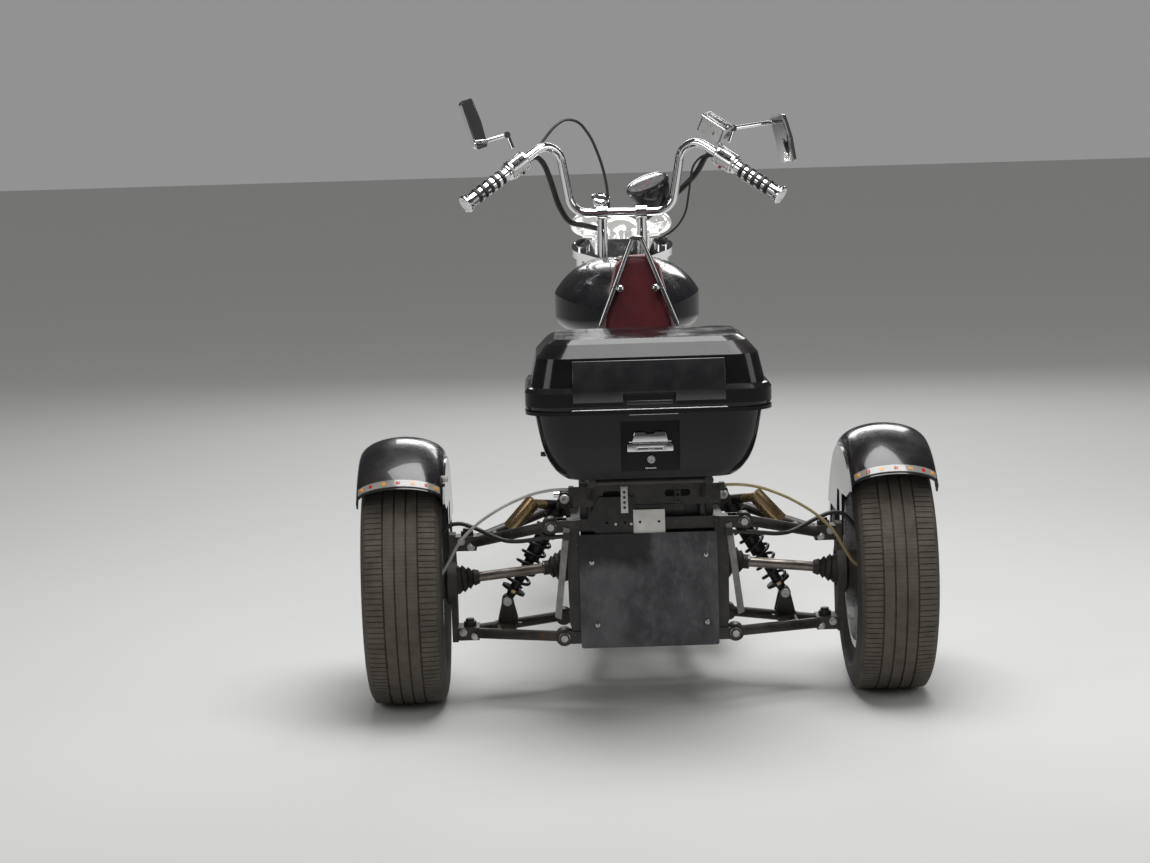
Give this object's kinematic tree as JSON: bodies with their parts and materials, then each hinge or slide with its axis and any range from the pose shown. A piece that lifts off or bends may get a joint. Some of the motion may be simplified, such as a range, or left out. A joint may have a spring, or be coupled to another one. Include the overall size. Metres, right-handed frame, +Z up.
{
  "type": "motorized trike",
  "caption": "Motorized trike: cruiser front fork, V-twin frame and tank, independent car-tyred rear axle with mudguards, top case and backrest.",
  "frame": {"origin": "on the ground, under the middle of the overall length and width", "axes": "+X to the rider's right, +Y forward, +Z up"},
  "size_m": [1.34, 2.49, 1.4358],
  "materials": {
    "black_paint": "satin, dusty",
    "scuffed_steel": "scuffed",
    "cast_metal": "rough cast",
    "bronze_metal": "anodised",
    "spring_paint": "gloss",
    "gloss_black": "gloss with fine flake",
    "lamp_lens": "clear over reflectors",
    "burgundy_vinyl": "grained",
    "chrome": "polished",
    "fin_black": "satin with bright fin edges",
    "case_plastic": "gloss",
    "bracket_paint": "satin",
    "cable_sheath": "satin",
    "black_rubber": "matt",
    "satin_metal": "satin",
    "black_plastic": "matt",
    "tyre": "dusty",
    "wheel_alloy": "satin",
    "shaft_steel": "dirty"
  },
  "bodies": {
    "root": {"frame": "black_paint", "rear_subframe": "black_paint", "rear_panel": "scuffed_steel", "final_drive": "cast_metal", "upper_wishbones": "black_paint", "lower_wishbones": "black_paint", "uprights": "cast_metal", "shock_bodies": "bronze_metal", "shock_springs": "spring_paint", "mudguards": "gloss_black", "tail_lamp_strips": "lamp_lens", "fuel_tank": "gloss_black", "saddle": "burgundy_vinyl", "backrest": "burgundy_vinyl", "sissy_bar": "chrome", "engine_block": "cast_metal", "cylinders": "fin_black", "air_cleaner": "chrome", "exhaust": "chrome", "foot_controls": "chrome", "side_covers": "gloss_black", "luggage_rack": "black_paint", "case_base": "case_plastic", "plate_bracket": "bracket_paint", "handbrake_cables": "cable_sheath", "brake_hoses": "black_rubber"},
    "steering": {"fork": "chrome", "headlamp": "chrome", "spot_lamps": "chrome", "handlebar": "chrome", "grips": "chrome", "hand_controls": "satin_metal", "mirrors": "chrome", "gauges": "black_plastic", "front_mudguard": "gloss_black", "bar_cables": "black_rubber"},
    "front_wheel_set": {"front_tyre": "tyre", "front_wheel": "chrome"},
    "rear_left_wheel_set": {"rear_left_tyre": "tyre", "rear_left_wheel": "wheel_alloy"},
    "rear_right_wheel_set": {"rear_right_tyre": "tyre", "rear_right_wheel": "wheel_alloy"},
    "left_shaft": {"half_shaft_left": "shaft_steel"},
    "right_shaft": {"half_shaft_right": "shaft_steel"},
    "lid": {"case_lid": "case_plastic"}
  },
  "joints": [
    {"name": "steering", "type": "hinge", "parent": "root", "child": "steering", "pos_m": [0, 0.49343, 0.87439], "axis": [0, -0.5446, 0.8387], "range_deg": [-32, 32]},
    {"name": "front_wheel_spin", "type": "hinge", "parent": "steering", "child": "front_wheel_set", "pos_m": [0, 0.925, 0.32], "axis": [1, 0, 0], "continuous": true},
    {"name": "rear_left_spin", "type": "hinge", "parent": "root", "child": "rear_left_wheel_set", "pos_m": [-0.57, -0.775, 0.289], "axis": [1, 0, 0], "continuous": true},
    {"name": "rear_right_spin", "type": "hinge", "parent": "root", "child": "rear_right_wheel_set", "pos_m": [0.57, -0.775, 0.289], "axis": [1, 0, 0], "continuous": true},
    {"name": "left_shaft_spin", "type": "hinge", "parent": "root", "child": "left_shaft", "pos_m": [-0.168, -0.775, 0.32], "axis": [0.9946, 0, 0.1035], "continuous": true},
    {"name": "right_shaft_spin", "type": "hinge", "parent": "root", "child": "right_shaft", "pos_m": [0.168, -0.775, 0.32], "axis": [0.9946, 0, -0.1035], "continuous": true},
    {"name": "lid_hinge", "type": "hinge", "parent": "root", "child": "lid", "pos_m": [0, -0.815, 0.73825], "axis": [-1, 0, 0], "range_deg": [0, 60]}
  ],
  "couplings": [
    {"joint": "left_shaft_spin", "follows": "rear_left_spin", "ratio": 1},
    {"joint": "right_shaft_spin", "follows": "rear_right_spin", "ratio": 1}
  ]
}
